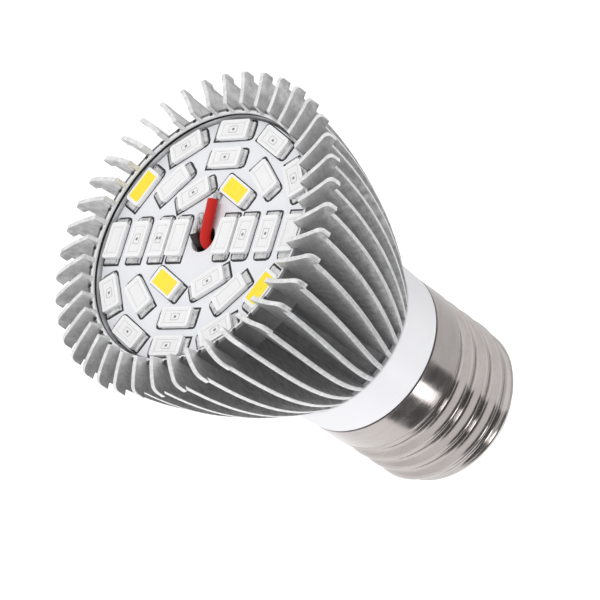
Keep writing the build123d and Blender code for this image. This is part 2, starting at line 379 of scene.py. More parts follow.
def spot(radius, angle, level=None):
    """Where a package sits on the board: its width along the radius, its length across it."""
    height = board_top if level is None else level
    return Matrix.Rotation(math.radians(angle), 4, "Z") @ Matrix.Translation((radius, 0, height))


def repeat(pattern, places):
    """Copies one small shape to each place, and lets the pattern go."""
    template = bpy.data.meshes.new("template")
    pattern.to_mesh(template)
    pattern.free()
    shape = bmesh.new()
    for place in places:
        first = len(shape.verts)
        shape.from_mesh(template)
        bmesh.ops.transform(shape, matrix=place, verts=shape.verts[first:])
    bpy.data.meshes.remove(template)
    return shape


def tube(points, radius, sides=4):
    """A round tube along a smooth curve that follows the points."""
    curve = bpy.data.curves.new("route", "CURVE")
    curve.dimensions = "3D"
    curve.resolution_u = CURVE_STEPS
    curve.bevel_depth = radius
    curve.bevel_resolution = sides
    curve.use_fill_caps = True
    spline = curve.splines.new("NURBS")
    spline.points.add(len(points) - 1)
    for knot, point in zip(spline.points, points):
        knot.co = (*point, 1)
    spline.order_u = 3
    spline.use_endpoint_u = True
    carrier = bpy.data.objects.new("route", curve)
    mesh = bpy.data.meshes.new_from_object(carrier)
    shape = bmesh.new()
    shape.from_mesh(mesh)
    bmesh.ops.remove_doubles(shape, verts=shape.verts[:], dist=MERGE_DISTANCE)
    bmesh.ops.recalc_face_normals(shape, faces=shape.faces[:])
    bpy.data.objects.remove(carrier)
    bpy.data.curves.remove(curve)
    bpy.data.meshes.remove(mesh)
    return shape


def join(shape, other):
    """Adds another shape to this one, and lets the other go."""
    mesh = bpy.data.meshes.new("joined")
    other.to_mesh(mesh)
    other.free()
    shape.from_mesh(mesh)
    bpy.data.meshes.remove(mesh)


def finish_piece(name, shape, finishes, replaced=(), crease=35):
    """Scales a shape to metres and makes it a piece of the bulb."""
    bmesh.ops.scale(shape, vec=(MM, MM, MM), verts=shape.verts)
    mesh = bpy.data.meshes.new(name)
    shape.to_mesh(mesh)
    shape.free()
    mesh.shade_smooth()
    mesh.set_sharp_from_angle(angle=math.radians(crease))
    for finish in finishes:
        mesh.materials.append(finish)
    piece = bpy.data.objects.new(name, mesh)
    bpy.context.scene.collection.objects.link(piece)
    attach(piece, "root")
    if replaced:
        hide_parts(*replaced)


# Effects: node groups that give masks

def effect(name, inputs, outputs):
    """An empty node group that takes a place and named numbers, with their usual values."""
    group = bpy.data.node_groups.new(name, "ShaderNodeTree")
    group.interface.new_socket(name="Vector", in_out="INPUT", socket_type="NodeSocketVector")
    for label, value in inputs.items():
        socket = group.interface.new_socket(name=label, in_out="INPUT", socket_type="NodeSocketFloat")
        socket.default_value = value
    for label in outputs:
        group.interface.new_socket(name=label, in_out="OUTPUT", socket_type="NodeSocketFloat")
    return group, group.nodes.new("NodeGroupInput"), group.nodes.new("NodeGroupOutput")


def feed(tree, socket, value):
    """Gives a socket a plain number, or a link from another node."""
    if isinstance(value, (int, float)):
        socket.default_value = value
    else:
        tree.links.new(value, socket)


def math_node(tree, operation, *values):
    node = tree.nodes.new("ShaderNodeMath")
    node.operation = operation
    for socket, value in zip(node.inputs, values):
        feed(tree, socket, value)
    return node.outputs[0]


def mix_masks(tree, first, second, share):
    """A blend of two masks, with the given share of the first."""
    return math_node(tree, "MULTIPLY_ADD", first, share, math_node(tree, "MULTIPLY", second, 1 - share))


def noise_node(tree, place, scale, detail, single=False):
    """Noise read at a place, or along a single number."""
    node = tree.nodes.new("ShaderNodeTexNoise")
    if single:
        node.noise_dimensions = "1D"
    tree.links.new(place, node.inputs["W" if single else "Vector"])
    feed(tree, node.inputs["Scale"], scale)
    node.inputs["Detail"].default_value = detail
    return node.outputs[0]


def split_place(tree, vector):
    """The three coordinates of a place, and its distance from the bulb's axis."""
    parts = tree.nodes.new("ShaderNodeSeparateXYZ")
    tree.links.new(vector, parts.inputs[0])
    x, y, z = parts.outputs
    square = math_node(tree, "ADD", math_node(tree, "MULTIPLY", x, x), math_node(tree, "MULTIPLY", y, y))
    return x, y, z, math_node(tree, "SQRT", square)


FINE_RATIO = 6.0
COARSE_SHARE = 0.65
FINE_SHARE = 0.35
GRAIN_SPREAD = 2.2


def make_grain_effect():
    """Soft mottling: a coarse and a fine noise, mixed and then spread by the contrast."""
    tree, entry, end = effect("grain", {"Scale": 400.0, "Contrast": 1.0}, ("Mask",))
    place = entry.outputs["Vector"]
    scale = entry.outputs["Scale"]
    fine_scale = math_node(tree, "MULTIPLY", scale, FINE_RATIO)
    coarse = math_node(tree, "MULTIPLY", noise_node(tree, place, scale, 4.0), COARSE_SHARE)
    fine = math_node(tree, "MULTIPLY", noise_node(tree, place, fine_scale, 2.0), FINE_SHARE)
    centred = math_node(tree, "SUBTRACT", math_node(tree, "ADD", coarse, fine), 0.5)
    strength = math_node(tree, "MULTIPLY", entry.outputs["Contrast"], GRAIN_SPREAD)
    spread = math_node(tree, "MULTIPLY", centred, strength)
    mask = tree.nodes.new("ShaderNodeClamp")
    tree.links.new(math_node(tree, "ADD", spread, 0.5), mask.inputs["Value"])
    tree.links.new(mask.outputs[0], end.inputs["Mask"])
    return tree


def make_lathe_effect():
    """Fine rings round the bulb's axis, as a lathe tool leaves them."""
    tree, entry, end = effect("lathe_marks", {"Pitch": 0.00008}, ("Mask",))
    radius = split_place(tree, entry.outputs["Vector"])[3]
    place = math_node(tree, "DIVIDE", radius, entry.outputs["Pitch"])
    tree.links.new(noise_node(tree, place, 1.0, 3.0, single=True), end.inputs["Mask"])
    return tree


LINES_ALONG_AXIS = 120.0
LINES_ROUND_AXIS = 9.0
DEPTH_START = 0.002
DEPTH_END = -0.004


def make_cast_effect():
    """Draw lines of a casting mould along the outer edge of each fin, and the depth behind that edge.

    Slope is how fast the edge moves outwards as it rises. Depth runs from 0 outside to 1 near the core, and
    sets the painted light of the cast finish.
    """
    tree, entry, end = effect("draw_lines", {"Slope": 0.345, "Fineness": 2600.0}, ("Mask", "Depth"))
    x, y, z, radius = split_place(tree, entry.outputs["Vector"])
    distance = math_node(tree, "SUBTRACT", radius, math_node(tree, "MULTIPLY", z, entry.outputs["Slope"]))
    place = tree.nodes.new("ShaderNodeCombineXYZ")
    angle = math_node(tree, "ARCTAN2", y, x)
    tree.links.new(math_node(tree, "MULTIPLY", distance, entry.outputs["Fineness"]), place.inputs[0])
    tree.links.new(math_node(tree, "MULTIPLY", z, LINES_ALONG_AXIS), place.inputs[1])
    tree.links.new(math_node(tree, "MULTIPLY", angle, LINES_ROUND_AXIS), place.inputs[2])
    tree.links.new(noise_node(tree, place.outputs[0], 1.0, 3.0), end.inputs["Mask"])
    inward = tree.nodes.new("ShaderNodeMapRange")
    inward.inputs["From Min"].default_value = DEPTH_START
    inward.inputs["From Max"].default_value = DEPTH_END
    tree.links.new(distance, inward.inputs["Value"])
    tree.links.new(inward.outputs[0], end.inputs["Depth"])
    return tree


GRAIN = make_grain_effect()
LATHE_MARKS = make_lathe_effect()
DRAW_LINES = make_cast_effect()


# Finishes

def place_effect(finish, group, stretch=(1, 1, 1), **values):
    """Adds an effect to a finish, on the piece's own coordinates, and returns its mask."""
    tree = finish.node_tree
    coordinates = tree.nodes.new("ShaderNodeTexCoord")
    mapping = tree.nodes.new("ShaderNodeMapping")
    mapping.inputs["Scale"].default_value = stretch
    node = tree.nodes.new("ShaderNodeGroup")
    node.node_tree = group
    tree.links.new(coordinates.outputs["Object"], mapping.inputs["Vector"])
    tree.links.new(mapping.outputs["Vector"], node.inputs["Vector"])
    for label, value in values.items():
        node.inputs[label].default_value = value
    return node.outputs["Mask"]


def spread_colour(finish, mask, pale, deep):
    """Base colour that runs from deep to pale over a mask."""
    tree = finish.node_tree
    blend = tree.nodes.new("ShaderNodeMix")
    blend.data_type = "RGBA"
    blend.inputs[6].default_value = (*deep, 1)
    blend.inputs[7].default_value = (*pale, 1)
    tree.links.new(mask, blend.inputs[0])
    tree.links.new(blend.outputs[2], tree.nodes["Principled BSDF"].inputs["Base Color"])


def spread_roughness(finish, mask, at_low, at_high):
    """Roughness that follows the middle half of a mask, between two values."""
    tree = finish.node_tree
    span = tree.nodes.new("ShaderNodeMapRange")
    span.inputs["From Min"].default_value = 0.25
    span.inputs["From Max"].default_value = 0.75
    span.inputs["To Min"].default_value = at_low
    span.inputs["To Max"].default_value = at_high
    tree.links.new(mask, span.inputs["Value"])
    tree.links.new(span.outputs[0], tree.nodes["Principled BSDF"].inputs["Roughness"])


def raise_relief(finish, mask, height):
    """Relief over a mask, with its height in millimetres."""
    tree = finish.node_tree
    bump = tree.nodes.new("ShaderNodeBump")
    bump.inputs["Strength"].default_value = 1.0
    bump.inputs["Distance"].default_value = height * MM
    tree.links.new(mask, bump.inputs["Height"])
    tree.links.new(bump.outputs[0], tree.nodes["Principled BSDF"].inputs["Normal"])


def new_finish(name, **sockets):
    """A finish with constant values on its shader's own sockets."""
    finish = bpy.data.materials.new(name)
    finish.use_nodes = True
    shader = finish.node_tree.nodes["Principled BSDF"]
    for label, value in sockets.items():
        shader.inputs[label.replace("_", " ")].default_value = value
    return finish


def grey(level):
    return (level, level, level)


def grained_finish(name, pale, deep, grain, roughness, relief, contrast=1.0, **sockets):
    """A finish whose colour, gloss and relief all follow one soft grain.

    Grain is how many mottles go into a metre, and relief is in millimetres.
    """
    finish = new_finish(name, **sockets)
    mask = place_effect(finish, GRAIN, Scale=grain, Contrast=contrast)
    spread_colour(finish, mask, pale, deep)
    spread_roughness(finish, mask, *roughness)
    raise_relief(finish, mask, relief)
    return finish


def cast_aluminium(name, pale, deep, smooth, rough):
    """A dull as-cast skin: draw lines under a fine speckle, with painted light that makes it paler towards
    the core, where the gaps between fins lie in shade.
    """
    finish = new_finish(name, Metallic=0.72)
    tree = finish.node_tree
    lines = place_effect(finish, DRAW_LINES)
    speckle = place_effect(finish, GRAIN, Scale=900.0, Contrast=1.6)
    skin = mix_masks(tree, speckle, lines, 0.55)
    # Half of the colour mask is painted light that grows with the depth behind the fin's edge
    shade = mix_masks(tree, skin, lines.node.outputs["Depth"], 0.5)
    spread_colour(finish, shade, pale, deep)
    spread_roughness(finish, skin, rough, smooth)
    raise_relief(finish, skin, 0.04)
    return finish


def turned_aluminium():
    """Bright turned metal with lathe marks, in the recess for the board."""
    finish = new_finish("turned_aluminium", Metallic=0.3)
    rings = place_effect(finish, LATHE_MARKS)
    spread_colour(finish, rings, (0.9, 0.9, 0.91), (0.7, 0.7, 0.71))
    spread_roughness(finish, rings, 0.32, 0.44)
    raise_relief(finish, rings, 0.01)
    return finish


def nickel_plate():
    """Warm plated metal, with wear that lies across the bulb's axis."""
    finish = new_finish("nickel_plate", Metallic=1.0)
    wear = place_effect(finish, GRAIN, (1, 1, 3), Scale=260.0, Contrast=0.9)
    spread_colour(finish, wear, (0.53, 0.49, 0.475), (0.42, 0.385, 0.37))
    spread_roughness(finish, wear, 0.14, 0.24)
    raise_relief(finish, wear, 0.006)
    return finish


# Fin sides: much of the spread from deep to pale is painted light towards the core
CAST = cast_aluminium("cast_aluminium", grey(0.98), (0.22, 0.22, 0.223), 0.36, 0.52)
# A darker copy of the cast finish for the core between the fins: painted shade
CAST_PAINTED_SHADE = cast_aluminium("cast_aluminium_painted_shade", (0.24, 0.24, 0.245), (0.15, 0.15, 0.155), 0.45, 0.6)
# Near black, a painted shadow: the pits in the ring and the groove in the recess wall
NOTCH_PAINTED_SHADOW = grained_finish(
    "notch_shadow", pale=grey(0.04), deep=grey(0.02), grain=1500, roughness=(0.6, 0.8), relief=0.01,
)
# A paler, shinier copy of the cast finish for the fin rims: painted highlight
CAST_EDGE_HIGHLIGHT = grained_finish(
    "cast_aluminium_edge_highlight", pale=(0.96, 0.96, 0.965), deep=(0.64, 0.64, 0.645),
    grain=1300, roughness=(0.34, 0.5), relief=0.05, contrast=1.3, Metallic=0.9,
)
TURNED = turned_aluminium()
NICKEL = nickel_plate()
COLLAR_WHITE = grained_finish(
    "collar_plastic", pale=(0.82, 0.82, 0.845), deep=(0.805, 0.805, 0.832),
    grain=300, roughness=(0.36, 0.42), relief=0.002, IOR=1.5,
)
BOARD_WHITE = grained_finish(
    "board_lacquer", pale=(0.82, 0.825, 0.86), deep=(0.78, 0.785, 0.82),
    grain=500, roughness=(0.3, 0.45), relief=0.006,
)
PRINT_BLACK = grained_finish(
    "board_print", pale=grey(0.03), deep=grey(0.012), grain=2500, roughness=(0.5, 0.7), relief=0.004,
)
HOUSING_WHITE = grained_finish(
    "led_housing", pale=(0.88, 0.88, 0.885), deep=(0.83, 0.83, 0.84),
    grain=900, roughness=(0.35, 0.5), relief=0.004,
)
SILICONE = grained_finish(
    "led_silicone", pale=(0.86, 0.855, 0.86), deep=(0.8, 0.795, 0.8),
    grain=700, roughness=(0.12, 0.22), relief=0.004,
)
# Grey: painted shadow on the slope round each fill's middle, and the thin line round each die's pad
PAD_LINE_AND_PAINTED_SHADOW = grained_finish(
    "pad_line_and_painted_shadow", pale=(0.55, 0.55, 0.56), deep=(0.45, 0.45, 0.46),
    grain=900, roughness=(0.2, 0.3), relief=0.004,
)
PHOSPHOR = grained_finish(
    "led_phosphor", pale=(0.98, 0.8, 0.04), deep=(0.95, 0.72, 0.02),
    grain=1200, roughness=(0.25, 0.4), relief=0.006,
)
DIE_GREY = grained_finish(
    "led_die", pale=(0.24, 0.22, 0.22), deep=(0.16, 0.15, 0.15),
    grain=3000, roughness=(0.3, 0.4), relief=0.002,
)
TIN = grained_finish(
    "tin", pale=grey(0.84), deep=(0.4, 0.4, 0.41),
    grain=800, roughness=(0.2, 0.4), relief=0.05, contrast=1.5, Metallic=1.0,
)
RED = grained_finish(
    "red_insulation", pale=(0.58, 0.012, 0.006), deep=(0.44, 0.008, 0.004),
    grain=900, roughness=(0.34, 0.5), relief=0.01, Specular_IOR_Level=0.3,
)
BLACK = grained_finish(
    "black_insulation", pale=(0.03, 0.02, 0.017), deep=(0.012, 0.008, 0.007),
    grain=900, roughness=(0.5, 0.65), relief=0.01,
)
GLASS_BLACK = grained_finish(
    "insulator_glass", pale=(0.02, 0.019, 0.022), deep=(0.008, 0.008, 0.01),
    grain=500, roughness=(0.08, 0.2), relief=0.01,
)
CONTACT = grained_finish(
    "contact_metal", pale=(0.82, 0.79, 0.74), deep=(0.62, 0.59, 0.54),
    grain=800, roughness=(0.2, 0.4), relief=0.02, Metallic=1.0,
)

# Finishes for the driver's solids, whose shapes are kept as they come
DRIVER_FINISHES = {
    "driver_board": grained_finish(
        "driver_board", pale=(0.03, 0.16, 0.05), deep=(0.02, 0.11, 0.035),
        grain=1500, roughness=(0.3, 0.45), relief=0.01,
    ),
    "bulk_capacitor": grained_finish(
        "sleeve_black", pale=(0.02, 0.02, 0.025), deep=(0.01, 0.01, 0.014),
        grain=600, roughness=(0.2, 0.35), relief=0.01,
    ),
    "output_capacitor": grained_finish(
        "sleeve_dark", pale=(0.02, 0.03, 0.05), deep=(0.01, 0.015, 0.03),
        grain=600, roughness=(0.2, 0.35), relief=0.01,
    ),
    "inductor": grained_finish(
        "ferrite", pale=(0.07, 0.068, 0.066), deep=grey(0.03),
        grain=1800, roughness=(0.5, 0.75), relief=0.03,
    ),
    "bridge_rectifier": grained_finish(
        "epoxy", pale=(0.035, 0.035, 0.036), deep=(0.018, 0.018, 0.019),
        grain=2000, roughness=(0.45, 0.6), relief=0.01,
    ),
    "film_capacitor": grained_finish(
        "film_case", pale=(0.55, 0.36, 0.03), deep=(0.45, 0.28, 0.02),
        grain=900, roughness=(0.3, 0.45), relief=0.01,
    ),
    "driver_chip": grained_finish(
        "chip_epoxy", pale=(0.03, 0.03, 0.032), deep=(0.015, 0.015, 0.016),
        grain=2200, roughness=(0.5, 0.65), relief=0.01,
    ),
    "fuse_resistor": grained_finish(
        "resistor_glaze", pale=(0.22, 0.4, 0.36), deep=(0.15, 0.3, 0.27),
        grain=900, roughness=(0.3, 0.45), relief=0.01,
    ),
    "live_lead": TIN,
    "neutral_lead": TIN,
}


# Heat sink

def arc_centre(start, end, radius):
    """Centre of an arc in the XZ plane, on the axis side of the line from start to end."""
    start, end = Vector(start), Vector(end)
    chord = end - start
    side = Vector((-chord.y, chord.x)).normalized()
    return (start + end) / 2 + side * math.sqrt(radius ** 2 - chord.length_squared / 4)


def draw_fin():
    """One fin laid flat in the XZ plane, with its inner edge buried in the core and the ring."""
    shape = bmesh.new()
    foot = (FIN_NECK_RADIUS, neck_level)
    shoulder = (fin_tip_radius - FIN_BAND_STEP, band_level)
    centre = arc_centre(foot, shoulder, FIN_EDGE_RADIUS)
    sweep = (Vector(foot) - centre).angle_signed(Vector(shoulder) - centre)
    shape.verts.new((foot[0], 0, foot[1]))
    bmesh.ops.spin(
        shape, geom=shape.verts[:], cent=(centre.x, 0, centre.y), axis=(0, 1, 0), angle=sweep,
        steps=FIN_EDGE_STEPS, use_duplicate=False,
    )
    edge = shape.verts[:]
    columns = [vert.co.x for vert in edge]
    others = [
        (fin_tip_radius, band_level),
        (fin_tip_radius, front_level),
        (RECESS_RADIUS + RIM_FLARE, front_level),
        (RECESS_RADIUS + FIN_LIP_GAP, rim_level),
        (ring_middle, rim_level - FIN_ROOT_DROP),
        (ring_middle, plate_bottom + FIN_ROOT_SINK),
        (FIN_ROOT_PLATE, plate_bottom + FIN_ROOT_SINK),
        (FIN_ROOT_TOP, plate_bottom - FIN_ROOT_DROP),
        (FIN_ROOT_NECK, neck_level),
    ]
    rest = [shape.verts.new((radius, 0, height)) for radius, height in others]
    shape.faces.new(edge + rest)
    round_corners(shape, [rest[1]], FIN_TIP_ROUNDING, 4)
    for column in columns[1:-1]:
        bmesh.ops.bisect_plane(
            shape, geom=whole(shape), dist=TOLERANCE, plane_co=(column, 0, 0), plane_no=(1, 0, 0),
        )
    return shape


def sideness(face):
    """One for the broad sides of the flat fin, zero for its rim."""
    return abs(face.normal.y)


def thicken_fin(shape):
    """Makes a plate of the flat fin, rounds its rims and gives them the paler edge finish, a painted
    highlight.
    """
    bmesh.ops.translate(shape, vec=(0, -FIN_THICKNESS / 2, 0), verts=shape.verts)
    thicken(shape, (0, FIN_THICKNESS, 0))
    rims = [
        edge for edge in shape.edges
        if len(edge.link_faces) == 2 and sum(sideness(face) > FACING for face in edge.link_faces) == 1
    ]
    round_edges(shape, rims, FIN_RIM_ROUNDING, 2)
    for face in shape.faces:
        face.material_index = 0 if sideness(face) > FACING else 1


def bend_fin(shape):
    """Curves the flat fin in plan, each point keeping its own distance from the axis."""
    start = CORE_NECK_RADIUS - FIN_THICKNESS
    span = 2 * FIN_CURVE_RADIUS * math.hypot(start, FIN_CURVE_RADIUS)
    lean = math.atan2(FIN_CURVE_RADIUS, start)
    for vert in shape.verts:
        radius, side, height = vert.co
        turned = lean + math.asin((radius ** 2 - start ** 2 - 2 * FIN_CURVE_RADIUS ** 2) / span)
        along = Vector((
            start + FIN_CURVE_RADIUS * math.sin(turned),
            FIN_CURVE_RADIUS * (1 - math.cos(turned)),
        ))
        place = along + side * Vector((-math.sin(turned), math.cos(turned)))
        place *= radius / place.length
        vert.co = (place.x, place.y, height)


def make_sink_fins():
    shape = draw_fin()
    thicken_fin(shape)
    bend_fin(shape)
    bmesh.ops.rotate(shape, cent=(0, 0, 0), matrix=Matrix.Rotation(FIN_PHASE, 3, "Z"), verts=shape.verts)
    copies_round(shape, FIN_COUNT)
    finish_piece("sink_fins", shape, (CAST, CAST_EDGE_HIGHLIGHT), ("heat_sink",))


def make_sink_core():
    """The turned core: neck, plate under the board, and the ring round the recess with its groove."""
    groove_radius = RECESS_RADIUS + GROOVE_DEPTH
    shape = outline(
        [
            (CAVITY_RADIUS, neck_level),
            (CORE_NECK_RADIUS, neck_level),
            (CORE_TOP_RADIUS, plate_bottom),
            (PLATE_RADIUS, plate_bottom),
            (PLATE_RADIUS, rim_level),
            (LIP_RADIUS, rim_level),
            (RECESS_RADIUS, rim_level),
            (RECESS_RADIUS, board_top + GROOVE_TOP),
            (groove_radius, board_top + GROOVE_TOP - GROOVE_SLOPE),
            (groove_radius, board_top + GROOVE_BOTTOM + GROOVE_SLOPE),
            (RECESS_RADIUS, board_top + GROOVE_BOTTOM),
            (RECESS_RADIUS, board_bottom),
            (HOLE_RADIUS, board_bottom),
            (HOLE_RADIUS, plate_bottom),
            (CAVITY_RADIUS, plate_bottom),
        ],
        (((2,), CORE_FILLET, 5), ((3,), PLATE_ROUNDING, 3), ((4, 6), LIP_ROUNDING, 2)),
    )
    turn(shape, CORE_STEPS)
    above_floor = board_bottom + 0.1
    behind_wall = RECESS_RADIUS + 0.01
    for face in shape.faces:
        centre = face.calc_center_median()
        radius = centre.xy.length
        in_recess = centre.z > above_floor and radius < LIP_RADIUS
        in_groove = in_recess and centre.z < board_top + GROOVE_TOP and radius > behind_wall
        # Index 0 is the darker cast finish, painted shade, and index 2 paints the groove's shadow near black
        face.material_index = 2 if in_groove else int(in_recess)
    finish_piece("sink_core", shape, (CAST_PAINTED_SHADE, TURNED, NOTCH_PAINTED_SHADOW), ("heat_sink",))


def make_rim_notch_shadows():
    """Dark plates half sunk in the ring, one at each gap between fins, that paint the shadow in its small
    pits.
    """
    pattern = block(NOTCH_LENGTH, NOTCH_WIDTH, NOTCH_HEIGHT)
    radius = ring_middle + NOTCH_OUTWARD
    level = rim_level - NOTCH_HEIGHT / 2
    places = [spot(radius, 360 / FIN_COUNT * (step + NOTCH_SHIFT), level) for step in range(FIN_COUNT)]
    finish_piece("rim_notch_shadows", repeat(pattern, places), (NOTCH_PAINTED_SHADOW,))


# Board and LED packages

ALL_SPOTS = [(radius, 360 / count * step) for radius, count in LED_RINGS for step in range(count)]
DIE_SPOTS = [place for place in ALL_SPOTS if place not in PHOSPHOR_SPOTS + PLAIN_SPOTS]


def make_board():
    edge = reach("led_board")
    shape = outline(
        [
            (HOLE_RADIUS, board_bottom),
            (edge, board_bottom),
            (edge, board_top),
            (HOLE_RADIUS, board_top),
        ],
        (((2,), BOARD_EDGE_ROUNDING, 2), ((3,), BOARD_HOLE_ROUNDING, 2)),
    )
    turn(shape, BOARD_STEPS)
    finish_piece("board_disc", shape, (BOARD_WHITE,), ("led_board",))


def thin_frame(width, length, line, height, end_rounding, corner_rounding):
    """A thin closed frame lying on the XY plane, with its near end and one far corner rounded."""
    shape = bmesh.new()
    bmesh.ops.create_grid(shape, x_segments=1, y_segments=1, size=0.5)
    bmesh.ops.scale(shape, vec=(width, length, 1), verts=shape.verts)
    near_end = [vert for vert in shape.verts if vert.co.y < 0]
    far_corner = [vert for vert in shape.verts if vert.co.x > 0 and vert.co.y > 0]
    round_corners(shape, near_end, end_rounding, 2)
    round_corners(shape, far_corner, corner_rounding, 2)
    bmesh.ops.inset_region(
        shape, faces=shape.faces[:], thickness=line, use_boundary=True, use_even_offset=True,
    )
    middle = max(shape.faces, key=lambda face: face.calc_area())
    bmesh.ops.delete(shape, geom=[middle], context="FACES_ONLY")
    thicken(shape, (0, 0, height))
    return shape


def make_board_print():
    """The black frame printed round every package."""
    pattern = thin_frame(
        PRINT_WIDTH, PRINT_LENGTH, PRINT_LINE, PRINT_HEIGHT, PRINT_END_ROUNDING, PRINT_CORNER_ROUNDING,
    )
    shape = repeat(pattern, [spot(*place) for place in ALL_SPOTS])
    finish_piece("board_print", shape, (PRINT_BLACK,))


def make_led_housings():
    """White open housings: a narrow frame round a window with sloping walls."""
    pattern = block(LED_WIDTH, LED_LENGTH, led_top - board_top)
    round_edges(pattern, upright_edges(pattern), HOUSING_ROUNDING, 3)
    bmesh.ops.inset_region(
        pattern, faces=[highest_face(pattern)], thickness=HOUSING_FRAME, use_even_offset=True,
    )
    window = middle_face(pattern)
    across = WINDOW_WIDTH / (LED_WIDTH - 2 * HOUSING_FRAME)
    along = WINDOW_LENGTH / (LED_LENGTH - 2 * HOUSING_FRAME)
    bmesh.ops.scale(pattern, vec=(across, along, 1), verts=window.verts)
    for face in bmesh.ops.extrude_discrete_faces(pattern, faces=[window])["faces"]:
        bmesh.ops.translate(pattern, vec=(0, 0, -WINDOW_DEPTH), verts=face.verts)
        bmesh.ops.scale(pattern, vec=WINDOW_TAPER, verts=face.verts)
    shape = repeat(pattern, [spot(*place) for place in ALL_SPOTS])
    names = [f"led_{number:02d}" for number in range(1, len(ALL_SPOTS) + 1)]
    finish_piece("led_housings", shape, (HOUSING_WHITE,), names, crease=30)


def window_fills(places):
    """The fills of some packages. In each, a thin line, painted grey as shadow, slopes down to a middle that
    lies a little lower.
    """
    pattern = block(WINDOW_WIDTH, WINDOW_LENGTH, WINDOW_DEPTH - FILL_DROP)
    round_edges(pattern, upright_edges(pattern), FILL_ROUNDING, 4)
    bmesh.ops.inset_region(
        pattern, faces=[highest_face(pattern)], thickness=FILL_LINE_INSET, use_even_offset=True,
    )
    before = set(pattern.faces)
    bmesh.ops.inset_region(
        pattern, faces=[middle_face(pattern)], thickness=FILL_LINE_WIDTH, depth=-FILL_LINE_DEPTH,
        use_even_offset=True,
    )
    # The slope takes the grey line, a painted shadow
    for face in set(pattern.faces) - before:
        face.material_index = 1
    return repeat(pattern, [spot(*place, led_top - WINDOW_DEPTH) for place in places])


def make_windows():
    clear = window_fills([place for place in ALL_SPOTS if place not in PHOSPHOR_SPOTS])
    finish_piece("led_clear_fill", clear, (SILICONE, PAD_LINE_AND_PAINTED_SHADOW), ("led_windows",))
    yellow = window_fills([place for place in ALL_SPOTS if place in PHOSPHOR_SPOTS])
    finish_piece("led_yellow_fill", yellow, (PHOSPHOR, PHOSPHOR), ("led_phosphors",))


def make_dies():
    """The grey dies, set into the middle of the clear fills: one each, or two side by side."""
    level = led_top - FILL_DROP - DIE_DROP
    places = []
    for place in DIE_SPOTS:
        shifts = (-TWIN_SHIFT, TWIN_SHIFT) if place in TWIN_SPOTS else (0,)
        places += [spot(*place, level) @ Matrix.Translation((shift, 0, 0)) for shift in shifts]
    shape = repeat(block(DIE_WIDTH, DIE_LENGTH, DIE_HEIGHT), places)
    finish_piece("led_dies", shape, (DIE_GREY,))


def make_die_pads():
    """The thin line round each die's pad. It lies 0.01 mm clear of the middle of the fill."""
    level = led_top - FILL_DROP - PRINT_HEIGHT / 2
    pattern = thin_frame(PAD_WIDTH, PAD_LENGTH, PAD_LINE, PRINT_HEIGHT, PAD_ROUNDING, PAD_ROUNDING)
    shape = repeat(pattern, [spot(*place, level) for place in DIE_SPOTS])
    finish_piece("led_die_pads", shape, (PAD_LINE_AND_PAINTED_SHADOW,))


def make_terminals():
    """The soldered end terminals, two to a package, rounded off on the outside."""
    pattern = block(TERMINAL_WIDTH, TERMINAL_LENGTH, TERMINAL_HEIGHT)
    tops = rim_edges(pattern, TERMINAL_HEIGHT)
    outer = [edge for edge in tops if all(vert.co.y > 0 for vert in edge.verts)]
    round_edges(pattern, outer, TERMINAL_ROUNDING, 3)
    outward = Matrix.Translation((0, LED_LENGTH / 2 + TERMINAL_OUTWARD, 0))
    ends = [Matrix.Rotation(math.radians(way), 4, "Z") @ outward for way in (0, 180)]
    shape = repeat(pattern, [spot(*place) @ end for place in ALL_SPOTS for end in ends])
    finish_piece("led_terminals_soldered", shape, (TIN,), ("led_terminals",))


# Wires

def make_wires():
    finish_piece("red_wire_sheath", tube(RED_ROUTE, WIRE_RADIUS), (RED,), ("red_wire",))
    black = tube(BLACK_ROUTE, WIRE_RADIUS)
    finish_piece("black_wire_sheath", black, (BLACK,), ("black_wire",))
    strands = bmesh.new()
    for bundle in (RED_STRANDS, BLACK_STRANDS):
        for number in range(STRAND_COUNT):
            points = twisted(bundle, number * FULL_TURN / STRAND_COUNT)
            join(strands, tube(points, STRAND_RADIUS, 2))
    finish_piece("wire_strand_bundles", strands, (TIN,), ("wire_strands",))


def twisted(route, phase):
    """Points of one strand that winds round a bundle's route."""
    route = [Vector(point) for point in route]
    points = []
    for step in range(STRAND_STEPS + 1):
        share = step / STRAND_STEPS * (len(route) - 1)
        leg = min(int(share), len(route) - 2)
        along = route[leg + 1] - route[leg]
        place = route[leg] + along * (share - leg)
        side = along.cross(Vector((0, 0, 1))).normalized()
        up = side.cross(along).normalized()
        angle = phase + step / STRAND_STEPS * STRAND_TURNS * FULL_TURN
        points.append(place + STRAND_SPREAD * (math.cos(angle) * side + math.sin(angle) * up))
    return points


def make_solder():
    """Uneven blobs, each cut off flat at a hair above the board."""
    shape = bmesh.new()
    for x, y in SOLDER_SPOTS:
        blob = bmesh.new()
        bmesh.ops.create_uvsphere(blob, u_segments=24, v_segments=14, radius=SOLDER_RADIUS)
        bmesh.ops.scale(blob, vec=SOLDER_SHAPE, verts=blob.verts)
        for vert in blob.verts:
            vert.co *= 1 + SOLDER_UNEVENNESS * noise.noise(vert.co * SOLDER_LUMPS + Vector((x, y, 0)))
        bmesh.ops.translate(blob, vec=(x, y, board_top + SOLDER_LIFT), verts=blob.verts)
        bmesh.ops.bisect_plane(
            blob, geom=whole(blob), plane_co=(0, 0, board_top + SOLDER_CUT), plane_no=(0, 0, 1),
            clear_inner=True,
        )
        bmesh.ops.holes_fill(blob, edges=blob.edges[:])
        join(shape, blob)
    finish_piece("solder_blobs", shape, (TIN,), ("solder_joints",), crease=60)


# Housing and screw cap

